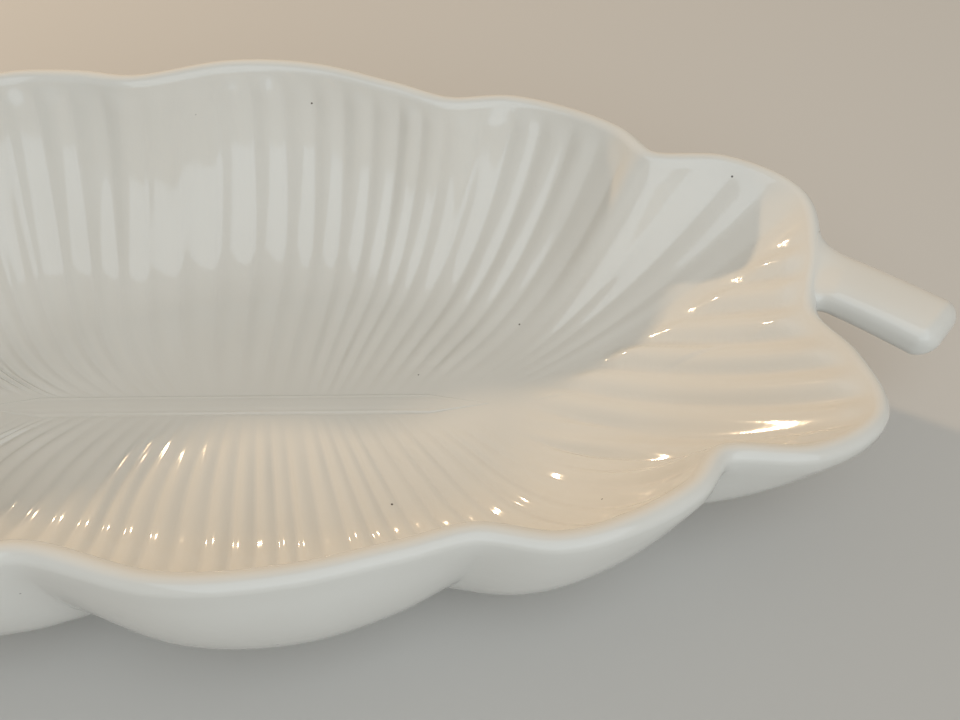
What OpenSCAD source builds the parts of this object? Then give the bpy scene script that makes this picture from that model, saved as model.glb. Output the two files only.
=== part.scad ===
// Leaf shaped serving dish in white glazed earthenware. The body is a deep scalloped
// shell with a fluted inside, a rolled lip and a flat midrib along its floor. A stem
// handle is luted to one end of the lip, and the dish stands on an unglazed foot ring.
// X runs along the midrib towards the stem, Z is up, and the foot rests on Z = 0.

/* [Leaf outline] */
// Length from the middle of the leaf to the lip beside the stem
stem_half_length = 170; // [150:1:200]
// Length from the middle of the leaf to its pointed tip
tip_half_length = 190; // [165:1:220]
// Half of the width across the widest lobe
half_width = 105; // [90:1:125]
// How much further the leaf reaches at the stem on one side than on the other
stem_end_lean = 1; // [0:0.2:3]

/* [Body] */
// Height of the lip above the inner floor at its highest
rim_height = 70; // [55:1:82]
// Thickness of the floor
floor_thickness = 6; // [4.5:0.5:8]
// Radius of the rolled lip
lip_radius = 3.5; // [2.5:0.25:4.5]
// Length of the flat floor towards the stem
floor_stem_length = 74; // [71:1:84]
// Length of the flat floor towards the tip
floor_tip_length = 120; // [116:1:130]
// Half width of the flat floor
floor_half_width = 51; // [44:1:56]
// Angle that the wall turns through at the widest lobe in degrees
wall_angle = 77; // [60:1:82]
// How far the lobes swell out of the outer wall
lobe_swell = 5.5; // [2:0.5:7]

/* [Flutes] */
// Height of a flute at its fullest
flute_height = 1.1; // [0.6:0.1:2]

/* [Midrib] */
// Width of the midrib
rib_width = 8.5; // [6:0.5:12]
// Height of the midrib above the floor
rib_height = 1.1; // [0.6:0.1:2]
// Length of the midrib towards the stem
rib_stem_length = 66; // [56:1:68]
// Length of the midrib towards the tip
rib_tip_length = 114; // [100:1:114]
// Length over which the ends of the midrib narrow
rib_taper = 22; // [10:1:30]
// Turn of the midrib away from the length of the leaf in degrees
rib_turn = 1.6; // [0:0.2:2]
// Width of the shallow groove along each edge of the midrib
rib_groove_width = 1.2; // [0.8:0.1:1.8]

/* [Stem handle] */
// Reach of the stem beyond the lip
stem_length = 42.5; // [35:0.5:65]
// Width of the stem close to the lip
stem_root_width = 24; // [18:1:28]
// Thickness of the stem close to the lip
stem_root_thickness = 13; // [9:1:15]
// Width of the stem at its free end
stem_end_width = 25; // [16:1:28]
// Thickness of the stem at its free end
stem_end_thickness = 15; // [10:1:18]
// How far the free end droops below the root
stem_droop = 6; // [2:1:14]
// How far the free end lies to one side of the root
stem_bend = 26; // [8:1:28]

/* [Foot] */
// Height of the foot ring
foot_height = 3; // [2:0.5:5]
// Width of the foot ring
foot_width = 6; // [4:0.5:9]
// Length of the foot ring towards the stem, to its outer edge
foot_stem_length = 79; // [68:1:84]
// Length of the foot ring towards the tip, to its outer edge
foot_tip_length = 120; // [106:1:124]
// Half width of the foot ring to its outer edge
foot_half_width = 56; // [50:1:60]

/* [Hidden] */
glaze = [0.93, 0.92, 0.90];
bisque = [0.86, 0.80, 0.70];

// Heights of the inner floor and of the flat underside
inner_floor = foot_height + floor_thickness;
underside = foot_height;

// Lobes of one side from the stem to the tip: the flutes in each, the angle round the leaf at
// which it ends, where its last flute leaves the midrib, how far the wall turns there and how
// much the lobe swells
lobe_flutes_count = [7, 7, 10, 7, 5, 4];
lobe_end_angles = [41.5, 71, 107, 133, 158, 180];
lobe_seat_shares = [0.8, 0.24, -0.38, -0.74, -0.91, -1];
lobe_wall_shares = [0.64, 0.93, 1, 1, 0.975, 0.96];
lobe_swell_shares = [0.4, 0.7, 1, 1, 0.8, 0.6];
// How far the wall turns beside the stem
stem_wall_share = 0.4;
// How much further the outer wall turns than the inner wall
outer_wall_share = 1.03;

// Lip line of one side, four steps to each lobe, as shares of the half length towards that
// end, of the half width and of the lip's height
rim_shares = [
    [0.990, 0.000, 0.586], [1.028, 0.245, 0.670], [1.028, 0.465, 0.726], [0.905, 0.592, 0.767],
    [0.741, 0.600, 0.797], [0.665, 0.730, 0.827], [0.563, 0.825, 0.845], [0.450, 0.878, 0.860],
    [0.318, 0.852, 0.884], [0.190, 0.915, 0.925], [0.030, 0.985, 0.970], [-0.130, 0.995, 0.986],
    [-0.300, 0.902, 0.997], [-0.420, 0.930, 1.000], [-0.535, 0.930, 1.000], [-0.635, 0.850, 1.000],
    [-0.705, 0.705, 0.995], [-0.785, 0.640, 0.985], [-0.855, 0.545, 0.970], [-0.890, 0.430, 0.955],
    [-0.885, 0.320, 0.945], [-0.925, 0.270, 0.935], [-0.960, 0.190, 0.925], [-0.990, 0.100, 0.915],
    [-1.010, 0.000, 0.910]
];
steps_per_lobe = 4;

// Samples round the lip for each flute, and their height across the flute as shares
flute_samples = 3;
ridge_shares = [0, 0.84, 0.84];

// Rows of the inner surface: place on the floor, then place up the wall, then the height
// of the flutes there as a share
floor_row_shares = [[0, 0], [0.5, 0.95], [1, 1]];
wall_row_shares = [[0.22, 1], [0.42, 1], [0.62, 1], [0.82, 1], [0.94, 0.8], [1, 0]];
// Angles round the lip and places down the outer wall
lip_angles = [135, 90, 45, 0];
outer_row_shares = [0.9, 0.77, 0.6, 0.4, 0.2, 0];
// Drop from the middle of the lip to the top of the outer wall
lip_drop = 0.8 * lip_radius;
// Margin of the flat underside round the foot
foot_margin = 2.5;
// Rows of the midrib from its middle out to its seat: inset in groove widths, then height
rib_row_shares = [[2.6, 1], [1.7, 0.96], [1.2, 0.6], [0.7, 0.9], [0, 0]];

// Root of the stem on the dish: samples to its middle, samples from there to each side, and
// the rows of the dish that it spans from the crest of the lip down
stem_middle_samples = 4;
stem_reach_samples = 3;
stem_top_row = len(floor_row_shares) + len(wall_row_shares) + 1;
stem_rows = 4;
// Places along the stem, and squareness of its section
stem_place_shares = [0.1, 0.2, 0.35, 0.55, 0.75, 0.87];
stem_end_angles = [30, 55, 75];
stem_square_ratio = 3.2;
// Facets round the foot
foot_facets = 120;

// Samples from the stem to the tip, and all round
function flutes_before(i) = i == 0 ? 0 : flutes_before(i - 1) + lobe_flutes_count[i - 1];
lobe_count = len(lobe_flutes_count);
side_flutes = flutes_before(lobe_count);
side_samples = side_flutes * flute_samples;
ring_samples = 2 * side_samples;

// Place along one side for a flute number: the lobe, how far through it, and a value there
// between those at the two ends of the lobe
function lobe_of(n, i = 0) =
    i == lobe_count - 1 || n < flutes_before(i + 1) ? i : lobe_of(n, i + 1);
function through(n) = (n - flutes_before(lobe_of(n))) / lobe_flutes_count[lobe_of(n)];
function between_ends(n, ends, first) =
    let (i = lobe_of(n), a = i == 0 ? first : ends[i - 1])
    a + (ends[i] - a) * through(n);

// A smooth curve through a list of points, mirrored across the midrib at both ends
function mirrored(p) = [p[0], -p[1], p[2]];
function rim_point(k) = k < 0 ? mirrored(rim_shares[-k])
    : k >= len(rim_shares) ? mirrored(rim_shares[2 * len(rim_shares) - 2 - k])
    : rim_shares[k];
function curve(p0, p1, p2, p3, t) =
    0.5 * (2 * p1 + (p2 - p0) * t + (2 * p0 - 5 * p1 + 4 * p2 - p3) * t * t
    + (3 * p1 - p0 - 3 * p2 + p3) * t * t * t);
function rim_share(n) =
    let (s = steps_per_lobe * (lobe_of(n) + through(n)), k = min(floor(s), len(rim_shares) - 2))
    curve(rim_point(k - 1), rim_point(k), rim_point(k + 1), rim_point(k + 2), s - k);
function half_length(x) = x < 0 ? tip_half_length : stem_half_length;

// Sample j runs from the stem along +Y to the tip and back along -Y
function side(j) = j <= side_samples ? 1 : -1;
function flute_number(j) = (j <= side_samples ? j : ring_samples - j) / flute_samples;
function unit(v) = v / norm(v);

ring = [for (j = [0:ring_samples - 1]) j];
flute_numbers = [for (j = ring) flute_number(j)];
rim_places = [for (n = flute_numbers) rim_share(n)];
rim_line = [for (j = ring)
    let (p = rim_places[j])
    [p[0] * half_length(p[0]) + stem_end_lean * side(j) * p[1] * max(p[0], 0),
        side(j) * p[1] * half_width]];
rim_outward = [for (j = ring)
    let (d = rim_line[(j + 1) % ring_samples] - rim_line[(j + ring_samples - 1) % ring_samples])
    unit([d[1], -d[0]])];
leaf_angles = [for (j = ring) side(j) * between_ends(flute_numbers[j], lobe_end_angles, 0)];
wall_arcs = [for (n = flute_numbers)
    wall_angle * between_ends(n, lobe_wall_shares, stem_wall_share)];
swells = [for (n = flute_numbers)
    lobe_swell * lobe_swell_shares[lobe_of(n)] * sin(180 * through(n))];

// Height of the middle of the lip
lip_heights = [for (p = rim_places) inner_floor + (rim_height - lip_radius) * p[2]];

// The strip of the floor that the midrib sits on: its middle line and its edge
function seat_share(n) = between_ends(n, lobe_seat_shares, 1);
function seat_length(n) = seat_share(n) * (seat_share(n) < 0 ? rib_tip_length : rib_stem_length);
function seat_half(x) = rib_width / 2 * min(1, min(rib_stem_length - x, rib_tip_length + x) / rib_taper);
seat_middles = [for (n = flute_numbers) [seat_length(n), -seat_length(n) * tan(rib_turn)]];
seat_points = [for (j = ring) seat_middles[j] + [0, side(j) * seat_half(seat_middles[j][0])]];

// Where the straight line of each flute from the midrib to the lip crosses the floor's oval
function scaled(v, size) = [v[0] / size[0], v[1] / size[1]];
function oval_share(from, to) =
    let (size = [to[0] < 0 ? floor_tip_length : floor_stem_length, floor_half_width],
         p = scaled(from, size), d = scaled(to - from, size), a = d * d, b = p * d, c = p * p - 1)
    (sqrt(b * b - a * c) - b) / a;
floor_points = [for (j = ring)
    seat_points[j] + (rim_line[j] - seat_points[j]) * oval_share(seat_points[j], rim_line[j])];

// The inner surface: floor from the midrib's seat out, then the wall up to the lip
function ridge(j) = flute_height * ridge_shares[j % flute_samples];
function along(arc, s) = sin(s * arc) / sin(arc);
function rise(arc, s) = (1 - cos(s * arc)) / (1 - cos(arc));
function wall_slope(j, s) =
    let (arc = wall_arcs[j], run = norm(rim_line[j] - floor_points[j]), up = lip_heights[j] - inner_floor)
    atan2(up * sin(s * arc) * sin(arc), run * cos(s * arc) * (1 - cos(arc)));
function floor_row(s, share) = [for (j = ring)
    let (p = seat_points[j] * (1 - s) + floor_points[j] * s)
    [p[0], p[1], inner_floor + share * ridge(j)]];
function wall_row(s, share) = [for (j = ring)
    let (f = floor_points[j], p = f + (rim_line[j] - f) * along(wall_arcs[j], s),
         t = wall_slope(j, s), h = share * ridge(j), q = p - rim_outward[j] * h * sin(t))
    [q[0], q[1], inner_floor + (lip_heights[j] - inner_floor) * rise(wall_arcs[j], s) + h * cos(t)]];

// The rolled lip and the outer wall down to the flat underside
function lip_row(t) = [for (j = ring)
    let (q = rim_line[j] + rim_outward[j] * lip_radius * (1 + cos(t)))
    [q[0], q[1], lip_heights[j] + lip_radius * sin(t)]];
function foot_length(x) = x < 0 ? foot_tip_length : foot_stem_length;
function base_point(a) =
    [(foot_length(cos(a)) + foot_margin) * cos(a), (foot_half_width + foot_margin) * sin(a)];
function outer_row(s) = [for (j = ring)
    let (b = base_point(leaf_angles[j]), r = rim_line[j] + rim_outward[j] * 2 * lip_radius,
         arc = outer_wall_share * wall_arcs[j], g = rise(arc, s),
         q = b + (r - b) * along(arc, s) + rim_outward[j] * swells[j] * sin(180 * g))
    [q[0], q[1], underside + (lip_heights[j] - lip_drop - underside) * g]];
function under_row() = [for (p = seat_points) [p[0], p[1], underside]];

dish_rows = concat(
    [for (r = floor_row_shares) floor_row(r[0], r[1])],
    [for (r = wall_row_shares) wall_row(r[0], r[1])],
    [for (t = lip_angles) lip_row(t)],
    [for (s = outer_row_shares) outer_row(s)],
    [under_row()]);

// Triangles of the band between rows k and k + 1, and of the strip across a narrow row
function band(k, m) = [for (j = [0:m - 1])
    let (a = k * m + j, b = k * m + (j + 1) % m)
    each [[a, b, b + m], [a, b + m, a + m]]];
function strip(start, m, up) = [for (j = [0:m / 2 - 1])
    let (a = start + j, b = start + j + 1, c = start + (m - j) % m, d = start + m - j - 1)
    each concat(j == 0 ? [] : [up ? [a, c, b] : [a, b, c]],
        j == m / 2 - 1 ? [] : [up ? [c, d, b] : [c, b, d]])];

// The faces of a closed shell of rows, from its top strip out and round to its underside
function shell_faces(rows, m) = concat(
    strip(0, m, true),
    [for (k = [0:rows - 2]) each band(k, m)],
    strip((rows - 1) * m, m, false));

// The midrib sits on the strip of the floor that the flutes leave open
function rib_row(inset, h) = [for (j = ring)
    let (m = seat_middles[j], p = m + (seat_points[j] - m) * (1 - 2 * inset / rib_width))
    [p[0] * (1 - inset / rib_tip_length), p[1] * (1 - inset / rib_tip_length),
        inner_floor + rib_height * h]];
rib_rows = [for (r = rib_row_shares) rib_row(r[0] * rib_groove_width, r[1])];

// The loop round the root of the stem, as steps sideways and steps down from the middle of
// its upper edge, starting at the upper corner on the -Y side
function loop_steps(w, h) = concat(
    [for (i = [0:2 * w - 1]) [i - w, 0]],
    [for (i = [0:h - 1]) [w, i]],
    [for (i = [0:2 * w - 1]) [w - i, h]],
    [for (i = [0:h - 1]) [-w, h - i]]);
root_steps = loop_steps(stem_reach_samples, stem_rows);
function root_vertex(across, down) =
    dish_rows[stem_top_row + down][(stem_middle_samples + across + ring_samples) % ring_samples];
root_middle = (root_vertex(0, 0) + root_vertex(0, stem_rows)) / 2;
root_start = [root_vertex(0, 2)[0], root_middle[1],
    root_vertex(0, 0)[2] - stem_root_thickness / 2];

// The line of the stem and its section along it, for a place from 0 at the lip to 1
function stem_centre(t) =
    root_start + [stem_length * t, -stem_bend * pow(t, 1.1), -stem_droop * pow(t, 1.2)];
function stem_heading(t) = unit(stem_centre(t + 0.05) - stem_centre(max(t - 0.05, 0)));
function stem_width(t) = stem_root_width + (stem_end_width - stem_root_width) * t;
function stem_thickness(t) = stem_root_thickness + (stem_end_thickness - stem_root_thickness) * t;
function squared(u, v) = [u, v] / pow(pow(abs(u), stem_square_ratio) + pow(abs(v), stem_square_ratio),
    1 / stem_square_ratio);
function stem_ring(centre, heading, w, h) =
    let (across = unit(cross([0, 0, 1], heading)), up = cross(heading, across))
    [for (q = root_steps)
        let (c = squared(q[0] / stem_reach_samples, 1 - 2 * q[1] / stem_rows))
        centre + across * c[0] * w / 2 + up * c[1] * h / 2];
stem_end_radius = stem_end_thickness / 2;
stem_end_place = 1 - stem_end_radius / stem_length;
stem_rings = concat(
    [[for (q = root_steps) root_vertex(q[0], q[1])]],
    [for (t = stem_place_shares * stem_end_place)
        stem_ring(stem_centre(t), stem_heading(t), stem_width(t), stem_thickness(t))],
    [for (a = concat([0], stem_end_angles))
        stem_ring(stem_centre(stem_end_place) + stem_heading(stem_end_place) * stem_end_radius * sin(a),
            stem_heading(stem_end_place),
            stem_end_width - 2 * stem_end_radius * (1 - cos(a)),
            stem_end_thickness - 2 * stem_end_radius * (1 - cos(a)))]);

module leaf_dish() {
    color(glaze)
        polyhedron(
            points = [for (row = dish_rows) each row],
            faces = shell_faces(len(dish_rows), ring_samples),
            convexity = 10);
}

module midrib() {
    color(glaze)
        polyhedron(
            points = [for (row = rib_rows) each row],
            faces = shell_faces(len(rib_rows), ring_samples),
            convexity = 4);
}

// The root of the stem repeats the facets of the dish that it lies on
module stem_handle() {
    w = stem_reach_samples;
    h = stem_rows;
    n = len(root_steps);
    rings = len(stem_rings);
    inner = [for (i = [1:h - 1]) for (k = [1 - w:w - 1]) root_vertex(k, i)];
    function at(k, i) = i == 0 ? k + w
        : i == h ? 3 * w + h - k
        : k == w ? 2 * w + i
        : k == -w ? n - i
        : rings * n + (i - 1) * (2 * w - 1) + k + w - 1;
    color(glaze)
        polyhedron(
            points = concat([for (ring = stem_rings) each ring], inner,
                [stem_centre(stem_end_place) + stem_heading(stem_end_place) * stem_end_radius]),
            faces = concat(
                [for (i = [0:h - 1]) for (k = [-w:w - 1])
                    each [[at(k, i), at(k + 1, i + 1), at(k + 1, i)],
                        [at(k, i), at(k, i + 1), at(k + 1, i + 1)]]],
                [for (r = [0:rings - 2]) for (k = [0:n - 1])
                    let (a = r * n + k, b = r * n + (k + 1) % n)
                    each [[a, b, b + n], [a, b + n, a + n]]],
                [for (k = [0:n - 1])
                    [(rings - 1) * n + k, (rings - 1) * n + (k + 1) % n, rings * n + len(inner)]]),
            convexity = 4);
}

// An oval about the middle of the leaf, longer towards the tip
function oval(inset) = [for (i = [0:foot_facets - 1])
    let (a = 360 * i / foot_facets)
    [(foot_length(cos(a)) - inset) * cos(a), (foot_half_width - inset) * sin(a)]];

module foot_ring() {
    color(bisque)
        linear_extrude(foot_height)
            difference() {
                polygon(oval(0));
                polygon(oval(foot_width));
            }
}

leaf_dish();
midrib();
stem_handle();
foot_ring();
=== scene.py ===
"""Looks of the leaf shaped serving dish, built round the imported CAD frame.

The CAD solids are faceted, so each one is replaced here by a finer mesh of the same form. Sizes
are in millimetres until they reach a mesh. X runs along the midrib to the stem and Z is up.
"""

import math

import bmesh
import bpy
import numpy as np
from mathutils import Matrix, Vector


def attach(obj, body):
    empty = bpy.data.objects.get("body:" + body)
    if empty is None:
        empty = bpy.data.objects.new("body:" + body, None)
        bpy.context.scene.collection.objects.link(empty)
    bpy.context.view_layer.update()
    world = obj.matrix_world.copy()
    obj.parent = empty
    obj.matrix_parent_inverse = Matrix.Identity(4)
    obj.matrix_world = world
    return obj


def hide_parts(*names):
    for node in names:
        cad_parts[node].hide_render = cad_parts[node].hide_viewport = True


MM = 0.001

# Driving sizes of the dish, as in the CAD source
STEM_HALF_LENGTH = 170.0
TIP_HALF_LENGTH = 190.0
HALF_WIDTH = 105.0
STEM_END_LEAN = 1.0
RIM_HEIGHT = 70.0
FLOOR_THICKNESS = 6.0
LIP_RADIUS = 3.5
FLOOR_STEM_LENGTH = 74.0
FLOOR_TIP_LENGTH = 120.0
FLOOR_HALF_WIDTH = 51.0
LOBE_SWELL = 5.5
WALL_ARC = math.radians(77)
FLUTE_HEIGHT = 1.1
RIB_WIDTH = 8.5
RIB_HEIGHT = 1.1
RIB_STEM_LENGTH = 66.0
RIB_TIP_LENGTH = 114.0
RIB_TAPER = 22.0
RIB_TURN = math.radians(1.6)
RIB_GROOVE_WIDTH = 1.2
STEM_LENGTH = 42.5
STEM_ROOT_WIDTH = 24.0
STEM_ROOT_THICKNESS = 13.0
STEM_END_WIDTH = 25.0
STEM_END_THICKNESS = 15.0
STEM_DROOP = 6.0
STEM_BEND = 26.0
FOOT_HEIGHT = 3.0
FOOT_WIDTH = 6.0
FOOT_STEM_LENGTH = 79.0
FOOT_TIP_LENGTH = 120.0
FOOT_HALF_WIDTH = 56.0
FOOT_MARGIN = 2.5
INNER_FLOOR = FOOT_HEIGHT + FLOOR_THICKNESS

# Lobes of one side from the stem to the tip: number of flutes, the angle where the lobe ends,
# where its last flute leaves the midrib, the arc of the wall there and the swell of the lobe,
# the last three as shares
LOBES = [
    (7, 41.5, 0.80, 0.64, 0.4), (7, 71, 0.24, 0.93, 0.7), (10, 107, -0.38, 1.0, 1.0),
    (7, 133, -0.74, 1.0, 1.0), (5, 158, -0.91, 0.975, 0.8), (4, 180, -1.0, 0.96, 0.6),
]
STEM_ARC_SHARE = 0.4

# How much further the outer wall's arc turns than the inner wall's, and how far its top lies
# below the middle of the lip's roll, as a share of the lip's radius
OUTER_ARC_SHARE = 1.03
OUTER_TOP_DROP = 0.8

# Lip line of one side, four steps to each lobe: shares of the half length that way, of the half
# width, and of the lip's height
RIM_SHARES = [
    (0.990, 0.000, 0.586), (1.028, 0.245, 0.670), (1.028, 0.465, 0.726), (0.905, 0.592, 0.767),
    (0.741, 0.600, 0.797), (0.665, 0.730, 0.827), (0.563, 0.825, 0.845), (0.450, 0.878, 0.860),
    (0.318, 0.852, 0.884), (0.190, 0.915, 0.925), (0.030, 0.985, 0.970), (-0.130, 0.995, 0.986),
    (-0.300, 0.902, 0.997), (-0.420, 0.930, 1.000), (-0.535, 0.930, 1.000), (-0.635, 0.850, 1.000),
    (-0.705, 0.705, 0.995), (-0.785, 0.640, 0.985), (-0.855, 0.545, 0.970), (-0.890, 0.430, 0.955),
    (-0.885, 0.320, 0.945), (-0.925, 0.270, 0.935), (-0.960, 0.190, 0.925), (-0.990, 0.100, 0.915),
    (-1.010, 0.000, 0.910),
]
STEPS_PER_LOBE = 4

# The pairs below say where a soft ramp starts and ends. Flutes are counted from the stem. A
# signed count is below zero on the near side, and a backward count is below zero on both.

# How far the wall eases into a level shoulder before the stem, and over which flutes
STEM_SHOULDER = 0.2
SHOULDER_FLUTES = (3.0, 7.0)

# The near lobe beside the stem has parallel veins: how far apart they are, where the first one
# is, the direction across them, how much higher than flutes they are, and the signed flutes
# over which they take over and rise
VEIN_PITCH = 12.2
VEIN_START = 59.4
VEIN_ACROSS = (0.485, 0.875)
VEIN_GAIN = 1.5
VEIN_FLUTES = (-5.5, -3.0)
VEIN_GAIN_FLUTES = (-8.0, -4.5)

# A smooth crease leads to the stem: its start and slope in plan, its half width, and where it
# sets in, along the midrib and in backward flutes
CREASE_START = (75.0, 4.0)
CREASE_SLOPE = 0.33
CREASE_HALF_WIDTH = 9.0
CREASE_X = (70.0, 100.0)
CREASE_FLUTES = (-7.0, -5.5)

# The relief grows only slowly from the midrib's stem end: over this length, and in these
# backward flutes
STEM_RELIEF_X = (72.0, 108.0)
STEM_RELIEF_FLUTES = (-10.0, -6.0)

# The far lobe beside the stem has lower flutes: how much lower, and the signed flutes where
# that sets in and ends
FAR_LOBE_EASE = 0.45
FAR_LOBE_START = (1.0, 3.0)
FAR_LOBE_END = (7.0, 10.0)

# The near side has coarser flutes in its lobe beside the stem, as a share of the usual number.
# Further on it has finer ones over a run: its start and length in flutes, and the share added
COARSE_SHARE = 0.75
FINE_START = 18.5
FINE_RUN = 6.0
FINE_SHARE = 0.5

# How far the flutes bend towards the tip where they cross the floor's edge, and where along
# the midrib, measured towards the tip, the bend sets in and ends
FLUTE_BEND = 10.0
BEND_START = (0.0, 60.0)
BEND_END = (110.0, 175.0)

# Form of the flutes: how round they are, their mean height as a share, and how much it differs
# from flute to flute and along each one, with the turns of those waves per flute and millimetre
FLUTE_POWER = 1.35
MEAN_HEIGHT = 0.92
FLUTE_WAVE = 0.16
FLUTE_WAVE_TURNS = (2.3, 1.1)
FLUTE_WAVE_START = 0.7
LENGTH_WAVE = 0.2
LENGTH_WAVE_TURN = 0.09
LENGTH_WAVE_SHIFT = 2.1

# On the floor the flutes fade towards the midrib: where along the floor they start to rise and
# are full, how much later that is at the leaf's two ends, their least height on its sides, and
# the flutes where the sides begin and end
FLOOR_FADE = (0.1, 0.55)
END_FADE_SHIFT = (0.2, 0.25)
SIDE_LEAST = 0.25
SIDES_START = (6.0, 15.0)
SIDES_END = (30.0, 36.0)

# Where up the wall the flutes die out before the lip
WALL_FADE = (0.93, 1.0)

# Section of the midrib from its crest outwards, insets in groove widths and heights as shares,
# then its height at its two ends as a share, and over how many tapers it grows to the full
RIB_PROFILE = [
    (3.4, 0.8), (2.9, 0.8), (2.4, 0.79), (2.0, 0.76), (1.7, 0.7), (1.45, 0.64), (1.2, 0.6),
    (0.95, 0.62), (0.75, 0.68), (0.5, 0.66), (0.25, 0.5), (0.0, 0.1), (-0.2, -0.3),
]
RIB_END_SHARE = 0.15
RIB_END_TAPERS = 1.5

# The stem's root is cut from the dish's grid: its middle and half width in flutes, its top as a
# share of the lip's rows and its bottom as a share of the outer wall's. It goes a little way
# into the dish, and closes by a share towards a place further inside
ROOT_MIDDLE_FLUTE = 4 / 3
ROOT_HALF_FLUTES = 1.0
ROOT_TOP_SHARE = 0.3
ROOT_BOTTOM_SHARE = 0.23
ROOT_DEPTH = 0.5
ROOT_INSIDE = (12, 0, 0)
ROOT_CLOSING = 0.03

# How square the stem is at its root and along its bar, the share of the root's loop that the
# fillet leaves towards and the share of the length where it ends, how the bend and the droop
# grow, how far the end is cut askew, and the step for the stem's direction
ROOT_SQUARENESS = 3
BAR_SQUARENESS = 2.8
FILLET_INSET = 0.9
FILLET_END = 0.16
BEND_POWER = 1.1
DROOP_POWER = 1.2
STEM_END_CUT = 2.2
HEADING_STEP = 0.05

# The foot ring's softened edge, and how far it reaches into the underside
FOOT_EDGE = 0.8
FOOT_OVERLAP = 0.2

# Fineness of the meshes
SAMPLES_PER_FLUTE = 12
FLOOR_ROWS = 14
WALL_ROWS = 44
LIP_ROWS = 14
OUTER_ROWS = 34
UNDERSIDE_SHARES = (0.9, 0.6, 0.3)
RIB_SAMPLES_PER_FLUTE = 4
STEM_SIDES = 64
FILLET_RINGS = 14
BAR_RINGS = 16
END_RINGS = 10
FOOT_SIDES = 240
FOOT_EDGE_STEPS = 6

# The photograph's camera: place in millimetres, turns in degrees, lens on a 36 mm frame
CAMERA_PLACE = (38.3, -246.8, 304.5 + INNER_FLOOR)
CAMERA_PITCH = 48.79
CAMERA_YAW = 5.48
CAMERA_ROLL = 2.49
CAMERA_LENS = 41.25

# The pale floor, in metres
FLOOR_REACH = 3.0
FLOOR_LEVEL = -0.0002


def unit(v):
    """Vectors of length 1 along the last axis."""
    return v / np.linalg.norm(v, axis=-1, keepdims=True)


def smooth_step(x, low, high):
    """0 below low, 1 above high and a soft ramp between them."""
    t = np.clip((x - low) / (high - low), 0, 1)
    return t * t * (3 - 2 * t)


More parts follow.
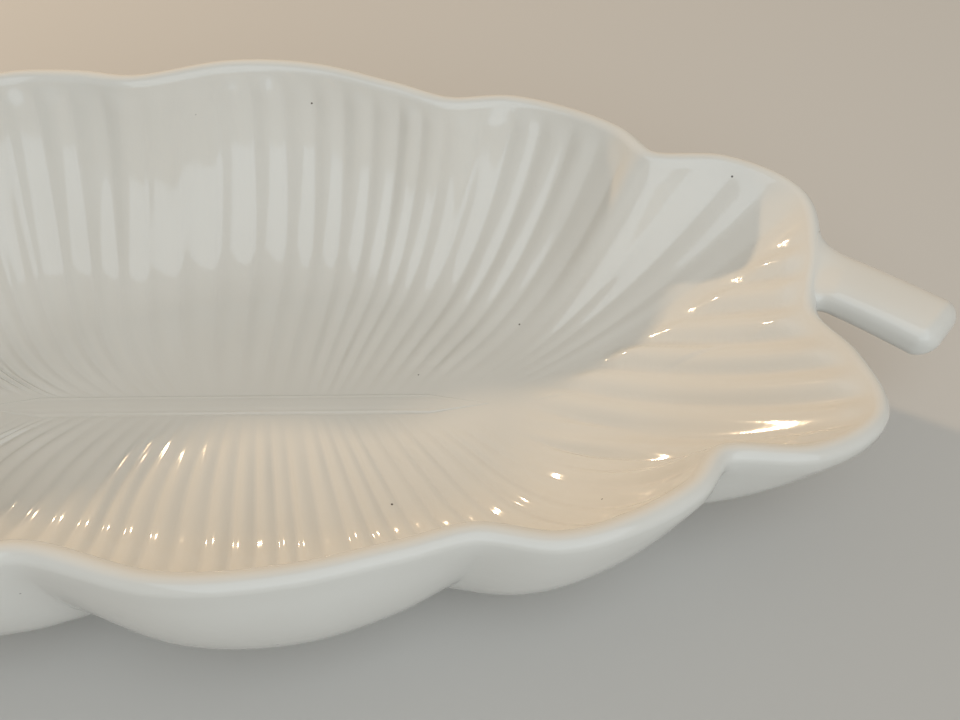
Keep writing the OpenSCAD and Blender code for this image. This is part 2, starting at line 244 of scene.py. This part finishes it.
class Leaf:
    """The leaf's plan: for each sample round the lip, its lip point, midrib seat and flute."""

    def __init__(self, samples_per_flute):
        flutes, ends, seats, arcs, swells = zip(*LOBES)
        starts = np.concatenate([[0], np.cumsum(flutes)])
        angles = np.array([0.0, *ends])
        leaves = np.array([1.0, *seats])
        arcs = WALL_ARC * np.array([STEM_ARC_SHARE, *arcs])
        half = starts[-1] * samples_per_flute
        self.count = 2 * half
        order = np.arange(self.count)
        self.side = np.where(order <= half, 1.0, -1.0)
        self.flute = np.where(order <= half, order, self.count - order) / samples_per_flute
        lobe = np.searchsorted(starts, self.flute, side="right") - 1
        lobe = np.clip(lobe, 0, len(LOBES) - 1)
        through = (self.flute - starts[lobe]) / np.array(flutes)[lobe]
        degrees = angles[lobe] + (angles[lobe + 1] - angles[lobe]) * through
        angle = np.radians(degrees) * self.side
        self.swell = LOBE_SWELL * np.array(swells)[lobe] * np.sin(math.pi * through)
        self.arc = arcs[lobe] + (arcs[lobe + 1] - arcs[lobe]) * through
        self.set_rim(self.rim_shares(STEPS_PER_LOBE * (lobe + through)))
        self.set_seat(leaves[lobe] + (leaves[lobe + 1] - leaves[lobe]) * through)
        self.floor = self.seat + (self.rim - self.seat) * self.floor_share()[:, None]
        self.bend_flutes()
        sides = smooth_step(self.flute, *SIDES_START) * (1 - smooth_step(self.flute, *SIDES_END))
        self.fade = (FLOOR_FADE[0] + END_FADE_SHIFT[0] * (1 - sides),
                     FLOOR_FADE[1] + END_FADE_SHIFT[1] * (1 - sides), SIDE_LEAST * sides)
        self.shoulder = STEM_SHOULDER * (1 - smooth_step(self.flute, *SHOULDER_FLUTES))
        self.set_lip()
        self.set_curves()
        cos, sin = np.cos(angle), np.sin(angle)
        foot = np.where(cos < 0, FOOT_TIP_LENGTH, FOOT_STEM_LENGTH) + FOOT_MARGIN
        self.base = np.stack([foot * cos, (FOOT_HALF_WIDTH + FOOT_MARGIN) * sin], axis=1)

    def set_rim(self, shares):
        """The lip line in plan, the way out of the leaf there, and the lip's height."""
        half_length = np.where(shares[:, 0] < 0, TIP_HALF_LENGTH, STEM_HALF_LENGTH)
        lean = STEM_END_LEAN * self.side * shares[:, 1] * np.maximum(shares[:, 0], 0)
        x = shares[:, 0] * half_length + lean
        self.rim = np.stack([x, self.side * shares[:, 1] * HALF_WIDTH], axis=1)
        along = np.roll(self.rim, -1, axis=0) - np.roll(self.rim, 1, axis=0)
        self.outward = unit(np.stack([along[:, 1], -along[:, 0]], axis=1))
        self.lip_height = INNER_FLOOR + (RIM_HEIGHT - LIP_RADIUS) * shares[:, 2]

    def set_seat(self, share):
        """Where each flute leaves the edge of the midrib."""
        x = share * np.where(share < 0, RIB_TIP_LENGTH, RIB_STEM_LENGTH)
        to_end = np.minimum(RIB_STEM_LENGTH - x, RIB_TIP_LENGTH + x)
        width = RIB_WIDTH / 2 * np.minimum(1, to_end / RIB_TAPER)
        self.seat_line = -x * math.tan(RIB_TURN)
        self.seat = np.stack([x, self.seat_line + self.side * width], axis=1)

    def bend_flutes(self):
        """Moves the places where the flutes cross the floor's edge towards the tip."""
        tip_way = -self.rim[:, 0]
        share = smooth_step(tip_way, *BEND_START) * (1 - smooth_step(tip_way, *BEND_END))
        x = self.floor[:, 0] - FLUTE_BEND * share
        length = np.where(x < 0, FLOOR_TIP_LENGTH, FLOOR_STEM_LENGTH)
        y = FLOOR_HALF_WIDTH * np.sqrt(np.maximum(0, 1 - (x / length) ** 2))
        bent = np.stack([x, self.side * y], axis=1)
        self.floor = np.where(share[:, None] > 0, bent, self.floor)

    def set_lip(self):
        """Where the wall runs smoothly into the lip's roll: the turn there, and its place."""
        turn = np.full(self.count, math.pi)
        for _ in range(3):
            top = self.rim + self.outward * (LIP_RADIUS * (1 + np.cos(turn)))[:, None]
            height = self.lip_height + LIP_RADIUS * np.sin(turn)
            run = np.linalg.norm(top - self.floor, axis=1)
            turn = math.pi / 2 + wall_slope(self, run, height - INNER_FLOOR, 1.0)
        self.lip_start, self.wall_top, self.wall_top_height = turn, top, height

    def set_curves(self):
        """How far the flutes bow in plan, so that they bend smoothly at the floor's edge."""
        floor_line, wall_line = self.floor - self.seat, self.wall_top - self.floor
        middle_way = unit(unit(floor_line) + unit(wall_line))
        floor_length = np.linalg.norm(floor_line, axis=1)[:, None]
        wall_length = np.linalg.norm(wall_line, axis=1)[:, None]
        self.floor_curve = floor_line - floor_length * middle_way
        self.wall_curve = wall_length * middle_way - wall_line

    def floor_share(self):
        """How far along the line from the midrib to the lip each flute crosses the floor's oval."""
        length = np.where(self.rim[:, 0] < 0, FLOOR_TIP_LENGTH, FLOOR_STEM_LENGTH)
        size = np.stack([length, np.full_like(length, FLOOR_HALF_WIDTH)], axis=1)
        start, line = self.seat / size, (self.rim - self.seat) / size
        a = (line ** 2).sum(axis=1)
        b = (start * line).sum(axis=1)
        c = (start ** 2).sum(axis=1) - 1
        return (np.sqrt(b * b - a * c) - b) / a

    @staticmethod
    def rim_shares(step):
        """A smooth curve through RIM_SHARES, mirrored across the midrib at both ends."""
        points = np.array(RIM_SHARES)
        flipped = points * [1, -1, 1]
        line = np.vstack([flipped[1], points, flipped[-2]])
        k = np.minimum(np.floor(step).astype(int), len(points) - 2)
        t = (step - k)[:, None]
        p0, p1, p2, p3 = line[k], line[k + 1], line[k + 2], line[k + 3]
        return 0.5 * (2 * p1 + (p2 - p0) * t + (2 * p0 - 5 * p1 + 4 * p2 - p3) * t ** 2
                      + (3 * p1 - p0 - 3 * p2 + p3) * t ** 3)

    def ridge(self, plan):
        """Height of the flutes at the places of a row: round ridges with narrow grooves."""
        x, y = plan[:, 0], plan[:, 1]
        signed = self.side * self.flute
        crease = y - CREASE_START[1] - CREASE_SLOPE * (x - CREASE_START[0])
        flute, near = self.flute_at(signed, x, y, crease)
        height = self.uneven_height(np.floor(flute), y)
        height = height * (1 + VEIN_GAIN * near * smooth_step(signed, *VEIN_GAIN_FLUTES))
        clear = self.clear_share(signed, x, crease)
        return FLUTE_HEIGHT * clear * height * np.abs(np.sin(math.pi * flute)) ** FLUTE_POWER

    def flute_at(self, signed, x, y, crease):
        """The count of flutes at each place, and whether it follows the near side's own count."""
        first = LOBES[0][0]
        added = FINE_SHARE * FINE_RUN
        veins = (VEIN_ACROSS[0] * x + VEIN_ACROSS[1] * y - VEIN_START) / VEIN_PITCH
        finer = FINE_SHARE * np.clip(-signed - FINE_START, 0, FINE_RUN)
        coarser = added - first + COARSE_SHARE * (signed + first)
        own = np.where(signed < -first, signed + added - finer, coarser)
        own = own + (veins - own) * smooth_step(signed, *VEIN_FLUTES)
        below = (crease < 0) | (self.side < 0)
        flute = np.where(below & (signed < first + LOBES[1][0]), own, signed)
        return flute, own == flute

    def uneven_height(self, number, y):
        """The height of each numbered flute, a little different between and along them."""
        turn, slower_turn = FLUTE_WAVE_TURNS
        wave = np.sin(turn * number + FLUTE_WAVE_START + self.side)
        height = MEAN_HEIGHT + FLUTE_WAVE * wave * np.cos(slower_turn * number)
        along = np.sin(LENGTH_WAVE_TURN * np.abs(y) + LENGTH_WAVE_SHIFT * number)
        return height * (1 + LENGTH_WAVE * along)

    def clear_share(self, signed, x, crease):
        """How much relief is left along the crease, near the stem and in the far lobe."""
        backward = -np.abs(signed)
        reach = smooth_step(x, *CREASE_X) * smooth_step(backward, *CREASE_FLUTES)
        clear = 1 - reach * (1 - smooth_step(np.abs(crease), 0, CREASE_HALF_WIDTH))
        stem_side = smooth_step(backward, *STEM_RELIEF_FLUTES)
        clear = clear * (1 - stem_side * (1 - smooth_step(x, *STEM_RELIEF_X)))
        far_lobe = smooth_step(signed, *FAR_LOBE_START) * (1 - smooth_step(signed, *FAR_LOBE_END))
        return clear * (1 - FAR_LOBE_EASE * far_lobe)


def arc_along(arc, s):
    """Share of an arc's level run at s."""
    return np.sin(s * arc) / np.sin(arc)


def arc_rise(arc, s):
    """Share of an arc's height at s."""
    return (1 - np.cos(s * arc)) / (1 - np.cos(arc))


def wall_rise(leaf, s):
    """Share of the wall's height at s: an arc, eased into a shoulder before the stem."""
    along = arc_along(leaf.arc, s)
    eased = along * along * (3 - 2 * along)
    return arc_rise(leaf.arc, s) + leaf.shoulder * (eased - arc_rise(leaf.arc, s))


def wall_slope(leaf, run, up, s):
    """Slope of the wall at s, in radians from level."""
    arc = leaf.arc
    along = arc_along(arc, s)
    steep = np.sin(s * arc) * np.sin(arc) / (np.cos(s * arc) * (1 - np.cos(arc)))
    eased = 6 * along * (1 - along)
    return np.arctan2(up * (steep + leaf.shoulder * (eased - steep)), run)


def row(plan, height):
    """A row of points from plan places and heights."""
    return np.column_stack([plan, np.broadcast_to(height, len(plan))])


def floor_row(leaf, s):
    """A row of the floor, s from 0 at the midrib's seat to 1 at the foot of the wall."""
    plan = leaf.seat * (1 - s) + leaf.floor * s + leaf.floor_curve * s * (1 - s)
    start, full, least = leaf.fade
    share = least + (1 - least) * smooth_step(s, start, full)
    height = 0 if s == 0 else share * leaf.ridge(plan)
    return row(plan, INNER_FLOOR + height)


def wall_row(leaf, s):
    """A row of the inner wall, s from 0 at the floor to 1 where the lip's roll begins."""
    line = leaf.wall_top - leaf.floor
    up = leaf.wall_top_height - INNER_FLOOR
    along = arc_along(leaf.arc, s)[:, None]
    plan = leaf.floor + line * along + leaf.wall_curve * along * (1 - along)
    slope = wall_slope(leaf, np.linalg.norm(line, axis=1), up, s)
    bump = leaf.ridge(plan) * (1 - smooth_step(s, *WALL_FADE))
    plan = plan - leaf.outward * (bump * np.sin(slope))[:, None]
    return row(plan, INNER_FLOOR + up * wall_rise(leaf, s) + bump * np.cos(slope))


def lip_row(leaf, share):
    """A row of the rolled lip, share from 0 where the wall meets it to 1 outside."""
    turn = leaf.lip_start * (1 - share)
    plan = leaf.rim + leaf.outward * (LIP_RADIUS * (1 + np.cos(turn)))[:, None]
    return row(plan, leaf.lip_height + LIP_RADIUS * np.sin(turn))


def outer_row(leaf, s):
    """A row of the outer wall, s from 1 under the lip to 0 at the flat underside."""
    top = leaf.rim + leaf.outward * 2 * LIP_RADIUS
    arc = OUTER_ARC_SHARE * leaf.arc
    up = arc_rise(arc, s)
    swell = leaf.outward * (leaf.swell * np.sin(math.pi * up))[:, None]
    plan = leaf.base + (top - leaf.base) * arc_along(arc, s)[:, None] + swell
    height = leaf.lip_height - OUTER_TOP_DROP * LIP_RADIUS - FOOT_HEIGHT
    return row(plan, FOOT_HEIGHT + height * up)


def dish_rows(leaf):
    """All rows of the dish, from the midrib's seat out, over the lip and under to the middle."""
    rows = [floor_row(leaf, s) for s in np.linspace(0, 1, FLOOR_ROWS)]
    rows += [wall_row(leaf, s) for s in np.linspace(0, 1, WALL_ROWS)[1:]]
    rows += [lip_row(leaf, share) for share in np.linspace(0, 1, LIP_ROWS)[1:]]
    rows += [outer_row(leaf, s) for s in np.linspace(1, 0, OUTER_ROWS)]
    rows += [row(leaf.base * share, FOOT_HEIGHT) for share in UNDERSIDE_SHARES]
    rows += [row(leaf.seat * UNDERSIDE_SHARES[-1], FOOT_HEIGHT)]
    return np.array(rows)


def grid_faces(rows, columns):
    """Quads between closed rows of points."""
    faces = []
    for r in range(rows - 1):
        here, there = r * columns, (r + 1) * columns
        for c in range(columns):
            d = (c + 1) % columns
            faces.append((here + c, here + d, there + d, there + c))
    return faces


def strip_faces(start, columns):
    """Faces across a narrow closed row, joining the points of its two sides."""
    faces = []
    for c in range(1, columns // 2 - 1):
        faces.append((start + c, start + c + 1, start + columns - c - 1, start + columns - c))
    faces.append((start, start + 1, start + columns - 1))
    faces.append((start + columns // 2 - 1, start + columns // 2, start + columns // 2 + 1))
    return faces


def closed_faces(rows, columns):
    """Faces of a body between closed rows, with a strip across its first and last row."""
    faces = grid_faces(rows, columns)
    faces += strip_faces(0, columns)
    faces += strip_faces((rows - 1) * columns, columns)
    return faces


def fix_normals(mesh):
    """Turns every face outwards."""
    bm = bmesh.new()
    bm.from_mesh(mesh)
    bmesh.ops.recalc_face_normals(bm, faces=bm.faces)
    bm.to_mesh(mesh)
    bm.free()


def new_piece(name, points, faces, material, node):
    """A smooth mesh piece that rides on the body and stands for a CAD node."""
    mesh = bpy.data.meshes.new(name)
    mesh.from_pydata((np.asarray(points) * MM).tolist(), [], faces)
    mesh.update()
    fix_normals(mesh)
    mesh.shade_smooth()
    piece = bpy.data.objects.new(name, mesh)
    bpy.context.collection.objects.link(piece)
    piece.data.materials.append(material)
    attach(piece, "root")
    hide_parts(node)
    return piece


def make_dish(leaf, rows, material):
    """The dish itself, one closed body."""
    faces = closed_faces(len(rows), leaf.count)
    return new_piece("dish_shell", rows.reshape(-1, 3), faces, material, "leaf_dish")


def make_midrib(material):
    """The midrib: a low rounded rib with a fine groove along each edge."""
    leaf = Leaf(RIB_SAMPLES_PER_FLUTE)
    x = leaf.seat[:, 0]
    to_end = np.minimum(RIB_STEM_LENGTH - x, RIB_TIP_LENGTH + x)
    rise = smooth_step(to_end, 0, RIB_END_TAPERS * RIB_TAPER)
    fade = RIB_END_SHARE + (1 - RIB_END_SHARE) * rise
    middle = np.stack([x, leaf.seat_line], axis=1)
    rows = []
    for grooves, height in RIB_PROFILE:
        inset = grooves * RIB_GROOVE_WIDTH
        narrow = middle + (leaf.seat - middle) * (1 - 2 * inset / RIB_WIDTH)
        plan = narrow * (1 - inset / RIB_TIP_LENGTH)
        rows.append(row(plan, INNER_FLOOR + RIB_HEIGHT * height * fade))
    rows = np.array(rows)
    faces = closed_faces(len(rows), leaf.count)
    return new_piece("midrib_rib", rows.reshape(-1, 3), faces, material, "midrib")


def on_grid(rows, r, c):
    """A point of the dish between its grid points."""
    r0, c0 = int(math.floor(r)), int(math.floor(c))
    fr, fc = r - r0, c - c0
    count = rows.shape[1]

    def at(a, b):
        return rows[a, b % count]

    return ((1 - fr) * ((1 - fc) * at(r0, c0) + fc * at(r0, c0 + 1))
            + fr * ((1 - fc) * at(r0 + 1, c0) + fc * at(r0 + 1, c0 + 1)))


def hermite(p0, t0, p1, t1, s):
    """A smooth curve from p0 to p1 that leaves along t0 and arrives along t1."""
    return ((2 * s ** 3 - 3 * s ** 2 + 1) * p0 + (s ** 3 - 2 * s ** 2 + s) * t0
            + (-2 * s ** 3 + 3 * s ** 2) * p1 + (s ** 3 - s ** 2) * t1)


def squared_circle(power):
    """The two coordinates round a circle, more square the higher the power."""
    turns = np.linspace(0, 2 * math.pi, STEM_SIDES, endpoint=False)
    u, v = np.cos(turns), np.sin(turns)
    size = (np.abs(u) ** power + np.abs(v) ** power) ** (1 / power)
    return u / size, v / size


def stem_section(place, direction, width, thickness):
    """A softly squared ring of the stem, square to its direction."""
    across = unit(np.cross([0, 0, 1], direction))
    up = np.cross(direction, across)
    u, v = squared_circle(BAR_SQUARENESS)
    return place + np.outer(u * width / 2, across) + np.outer(v * thickness / 2, up)


def make_stem(rows, material):
    """The stem: a softly squared bar that flows out of the lip through a fillet."""
    middle_column = ROOT_MIDDLE_FLUTE * SAMPLES_PER_FLUTE
    half_columns = ROOT_HALF_FLUTES * SAMPLES_PER_FLUTE
    lip_start = FLOOR_ROWS + WALL_ROWS - 1
    wall_start = lip_start + LIP_ROWS - 1
    top_row = lip_start + LIP_ROWS * ROOT_TOP_SHARE
    bottom_row = wall_start + ROOT_BOTTOM_SHARE * OUTER_ROWS
    middle_row = (top_row + bottom_row) / 2
    half_rows = (bottom_row - top_row) / 2
    crest = on_grid(rows, top_row, middle_column)
    middle = (crest + on_grid(rows, bottom_row, middle_column)) / 2
    start = np.array([on_grid(rows, wall_start, middle_column)[0], middle[1],
                      crest[2] - STEM_ROOT_THICKNESS / 2])

    def root_loop(share):
        places = [(middle_row - share * half_rows * b, middle_column + share * half_columns * a)
                  for a, b in zip(*squared_circle(ROOT_SQUARENESS))]
        return np.array([on_grid(rows, r, c) for r, c in places])

    def centre(t):
        t = max(t, 0)
        bend, droop = STEM_BEND * t ** BEND_POWER, STEM_DROOP * t ** DROOP_POWER
        return start + [STEM_LENGTH * t, -bend, -droop]

    def heading(t):
        return unit(centre(t + HEADING_STEP) - centre(max(t - HEADING_STEP, 0)))

    def bar_ring(t):
        width = STEM_ROOT_WIDTH + (STEM_END_WIDTH - STEM_ROOT_WIDTH) * t
        thickness = STEM_ROOT_THICKNESS + (STEM_END_THICKNESS - STEM_ROOT_THICKNESS) * t
        return stem_section(centre(t), heading(t), width, thickness)

    root = root_loop(1.0)
    inward = unit(root_loop(FILLET_INSET) - root)
    neck = bar_ring(FILLET_END)
    reach = np.linalg.norm(neck - root, axis=1, keepdims=True)
    arrive = np.broadcast_to(heading(FILLET_END), neck.shape) * reach
    buried = root - inward * ROOT_DEPTH
    rings = [buried + (middle - ROOT_INSIDE - buried) * ROOT_CLOSING]
    for s in np.linspace(0, 1, FILLET_RINGS):
        rings.append(hermite(root, inward * reach, neck, arrive, s))
    radius = STEM_END_THICKNESS / 2
    last = 1 - (radius + STEM_END_CUT) / STEM_LENGTH
    rings += [bar_ring(t) for t in np.linspace(FILLET_END, last, BAR_RINGS)[1:]]
    end, along = centre(last), heading(last)
    for turn in np.linspace(0, math.pi / 2, END_RINGS)[1:-1]:
        shrink = 2 * radius * (1 - math.cos(turn))
        rings.append(stem_section(end + along * radius * math.sin(turn), along,
                                  STEM_END_WIDTH - shrink, STEM_END_THICKNESS - shrink))
    rings = np.array(rings)
    beside = (rings - end) @ unit(np.cross([0, 0, 1], along)) / (STEM_END_WIDTH / 2)
    askew = smooth_step((rings - end) @ along, -2 * STEM_END_WIDTH, 0)
    rings = rings + along * (STEM_END_CUT * beside * askew)[..., None]
    faces = grid_faces(len(rings), STEM_SIDES)
    faces.append(tuple((len(rings) - 1) * STEM_SIDES + k for k in range(STEM_SIDES)))
    faces.append(tuple(range(STEM_SIDES)))
    points = rings.reshape(-1, 3)
    return new_piece("stem_bar", points, faces, material, "stem_handle")


def make_foot(material):
    """The foot ring, with a softened lower edge where the glaze was wiped off."""
    turns = np.linspace(0, 2 * math.pi, FOOT_SIDES, endpoint=False)
    length = np.where(np.cos(turns) < 0, FOOT_TIP_LENGTH, FOOT_STEM_LENGTH)
    top = FOOT_HEIGHT + FOOT_OVERLAP
    profile = [(0, top), (0, FOOT_EDGE)]
    for a in np.linspace(0, math.pi / 2, FOOT_EDGE_STEPS):
        profile.append((FOOT_EDGE * (1 - math.cos(a)), FOOT_EDGE * (1 - math.sin(a))))
    profile += [(FOOT_WIDTH - x, z) for x, z in reversed(profile[2:])]
    profile += [(FOOT_WIDTH, FOOT_EDGE), (FOOT_WIDTH, top)]
    rows = []
    for inset, z in profile:
        plan = np.stack([(length - inset) * np.cos(turns),
                         (FOOT_HALF_WIDTH - inset) * np.sin(turns)], axis=1)
        rows.append(row(plan, z))
    rows.append(rows[0])
    faces = grid_faces(len(rows), FOOT_SIDES)
    points = np.array(rows).reshape(-1, 3)
    return new_piece("foot_rim", points, faces, material, "foot_ring")


def new_material(name):
    """A material with its node tree and its shader."""
    material = bpy.data.materials.new(name)
    material.use_nodes = True
    tree = material.node_tree
    return material, tree, tree.nodes["Principled BSDF"]


def add_noise(tree, place, scale, detail):
    """Cloudy noise in the object's own space."""
    noise = tree.nodes.new("ShaderNodeTexNoise")
    noise.inputs["Scale"].default_value = scale
    noise.inputs["Detail"].default_value = detail
    tree.links.new(place.outputs["Object"], noise.inputs["Vector"])
    return noise


def add_bump(tree, height, strength, distance, shader):
    """A fine relief on the shader from a height."""
    bump = tree.nodes.new("ShaderNodeBump")
    bump.inputs["Strength"].default_value = strength
    bump.inputs["Distance"].default_value = distance
    tree.links.new(height, bump.inputs["Height"])
    tree.links.new(bump.outputs["Normal"], shader.inputs["Normal"])


def glaze_material():
    """Glossy white glaze: slightly warm, faintly uneven, with a few dark pinholes."""
    material, tree, shader = new_material("white_glaze")
    nodes, link = tree.nodes, tree.links.new
    place = nodes.new("ShaderNodeTexCoord")
    cloud = add_noise(tree, place, 14, 3)
    tone = nodes.new("ShaderNodeValToRGB")
    tone.color_ramp.elements[0].position = 0.3
    tone.color_ramp.elements[0].color = (0.72, 0.70, 0.65, 1)
    tone.color_ramp.elements[1].position = 0.7
    tone.color_ramp.elements[1].color = (0.76, 0.745, 0.70, 1)
    link(cloud.outputs["Fac"], tone.inputs["Fac"])
    specks = nodes.new("ShaderNodeTexVoronoi")
    specks.inputs["Scale"].default_value = 53
    link(place.outputs["Object"], specks.inputs["Vector"])
    near = nodes.new("ShaderNodeMapRange")
    near.inputs["From Min"].default_value = 0.014
    near.inputs["From Max"].default_value = 0.026
    near.inputs["To Min"].default_value = 1
    near.inputs["To Max"].default_value = 0
    link(specks.outputs["Distance"], near.inputs["Value"])
    mix = nodes.new("ShaderNodeMix")
    mix.data_type = "RGBA"
    mix.inputs["B"].default_value = (0.06, 0.045, 0.035, 1)
    link(near.outputs["Result"], mix.inputs["Factor"])
    link(tone.outputs["Color"], mix.inputs["A"])
    link(mix.outputs["Result"], shader.inputs["Base Color"])
    ripple = add_noise(tree, place, 60, 4)
    add_bump(tree, ripple.outputs["Fac"], 0.25, 0.0006, shader)
    shader.inputs["Roughness"].default_value = 0.09
    shader.inputs["IOR"].default_value = 1.5
    return material


def bisque_material():
    """Bare fired clay: matt, sandy and slightly speckled."""
    material, tree, shader = new_material("bare_clay")
    nodes, link = tree.nodes, tree.links.new
    place = nodes.new("ShaderNodeTexCoord")
    grain = add_noise(tree, place, 900, 4)
    tone = nodes.new("ShaderNodeValToRGB")
    tone.color_ramp.elements[0].color = (0.56, 0.47, 0.36, 1)
    tone.color_ramp.elements[1].color = (0.72, 0.64, 0.52, 1)
    link(grain.outputs["Fac"], tone.inputs["Fac"])
    link(tone.outputs["Color"], shader.inputs["Base Color"])
    add_bump(tree, grain.outputs["Fac"], 0.4, 0.0003, shader)
    shader.inputs["Roughness"].default_value = 0.85
    return material


def make_camera():
    """The photograph's camera, from its place and its pitch, yaw and roll."""
    pitch, yaw, roll = (math.radians(a) for a in (CAMERA_PITCH, CAMERA_YAW, CAMERA_ROLL))
    forward = Vector((math.sin(yaw) * math.cos(pitch), math.cos(yaw) * math.cos(pitch),
                      -math.sin(pitch)))
    level = Vector((math.cos(yaw), -math.sin(yaw), 0))
    above = level.cross(forward)
    right = math.cos(roll) * level + math.sin(roll) * above
    up = -math.sin(roll) * level + math.cos(roll) * above
    turn = Matrix((right, up, -forward)).transposed().to_4x4()
    data = bpy.data.cameras.new("photo_camera")
    data.sensor_width = 36
    data.lens = CAMERA_LENS
    data.clip_start = 0.01
    camera = bpy.data.objects.new("photo_camera", data)
    camera.matrix_world = Matrix.Translation(Vector(CAMERA_PLACE) * MM) @ turn
    bpy.context.collection.objects.link(camera)
    bpy.context.scene.camera = camera


def make_floor():
    """A plain pale floor."""
    mesh = bpy.data.meshes.new("floor")
    corners = [(-1, -1), (1, -1), (1, 1), (-1, 1)]
    points = [(x * FLOOR_REACH, y * FLOOR_REACH, FLOOR_LEVEL) for x, y in corners]
    mesh.from_pydata(points, [], [(0, 1, 2, 3)])
    floor = bpy.data.objects.new("floor", mesh)
    bpy.context.collection.objects.link(floor)
    material, _, shader = new_material("pale_floor")
    shader.inputs["Base Color"].default_value = (0.60, 0.585, 0.56, 1)
    shader.inputs["Roughness"].default_value = 0.7
    shader.inputs["Specular IOR Level"].default_value = 0.2
    mesh.materials.append(material)


def area_light(name, place, target, size, power, colour):
    """A soft rectangular light at place, in metres, turned to target."""
    data = bpy.data.lights.new(name, "AREA")
    data.shape = "RECTANGLE"
    data.size, data.size_y = size
    data.energy = power
    data.color = colour
    light = bpy.data.objects.new(name, data)
    light.location = place
    way = Vector(target) - Vector(place)
    light.rotation_euler = way.to_track_quat("-Z", "Y").to_euler()
    bpy.context.collection.objects.link(light)


def make_room():
    """A soft warm room, dark below and pale above, that the camera and the gloss see evenly."""
    world = bpy.data.worlds.new("room")
    world.use_nodes = True
    nodes, link = world.node_tree.nodes, world.node_tree.links.new
    place = nodes.new("ShaderNodeTexCoord")
    split = nodes.new("ShaderNodeSeparateXYZ")
    link(place.outputs["Generated"], split.inputs["Vector"])
    level = nodes.new("ShaderNodeValToRGB")
    level.color_ramp.elements[0].position = 0.0
    level.color_ramp.elements[0].color = (0.10, 0.10, 0.10, 1)
    level.color_ramp.elements[1].position = 1.0
    level.color_ramp.elements[1].color = (0.44, 0.44, 0.44, 1)
    for height, value in ((0.12, 0.14), (0.5, 0.47)):
        level.color_ramp.elements.new(height).color = (value, value, value, 1)
    link(split.outputs["Z"], level.inputs["Fac"])
    toward = nodes.new("ShaderNodeVectorMath")
    toward.operation = "DOT_PRODUCT"
    toward.inputs[1].default_value = (-0.5, -0.86, 0)
    link(place.outputs["Generated"], toward.inputs[0])
    blend = nodes.new("ShaderNodeMapRange")
    blend.inputs["From Min"].default_value = -0.8
    blend.inputs["From Max"].default_value = 0.8
    link(toward.outputs["Value"], blend.inputs["Value"])
    tint = nodes.new("ShaderNodeMix")
    tint.data_type = "RGBA"
    tint.inputs["A"].default_value = (1.0, 0.85, 0.66, 1)
    tint.inputs["B"].default_value = (1.0, 0.94, 0.84, 1)
    link(blend.outputs["Result"], tint.inputs["Factor"])
    background = nodes["Background"]
    link(tint.outputs["Result"], background.inputs["Color"])
    ray = nodes.new("ShaderNodeLightPath")
    seen = nodes.new("ShaderNodeMath")
    seen.operation = "MAXIMUM"
    link(ray.outputs["Is Camera Ray"], seen.inputs[0])
    link(ray.outputs["Is Glossy Ray"], seen.inputs[1])
    strength = nodes.new("ShaderNodeMix")
    strength.inputs["B"].default_value = 0.5
    link(seen.outputs["Value"], strength.inputs["Factor"])
    link(level.outputs["Color"], strength.inputs["A"])
    link(strength.outputs["Result"], background.inputs["Strength"])
    bpy.context.scene.world = world


def make_lights():
    """The room, a wide cool window in front and a small warm lamp behind the left end."""
    make_room()
    area_light("cool_window", (0.45, -1.35, 1.30), (-0.04, 0.07, 0.03), (2.2, 2.8), 25,
               (0.78, 0.90, 1.0))
    area_light("warm_lamp", (-0.78, 1.05, 0.69), (0, 0, 0.02), (0.06, 0.06), 9,
               (1.0, 0.71, 0.43))


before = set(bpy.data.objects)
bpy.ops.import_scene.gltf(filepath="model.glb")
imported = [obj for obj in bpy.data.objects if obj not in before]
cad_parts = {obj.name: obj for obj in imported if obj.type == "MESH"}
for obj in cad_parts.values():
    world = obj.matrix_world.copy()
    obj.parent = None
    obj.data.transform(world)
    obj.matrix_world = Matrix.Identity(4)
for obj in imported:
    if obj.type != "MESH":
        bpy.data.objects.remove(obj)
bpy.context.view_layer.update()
leaf = Leaf(SAMPLES_PER_FLUTE)
rows = dish_rows(leaf)
glaze = glaze_material()
make_dish(leaf, rows, glaze)
make_midrib(glaze)
make_stem(rows, glaze)
make_foot(bisque_material())
make_camera()
make_floor()
make_lights()
bpy.context.scene.view_settings.view_transform = "Standard"
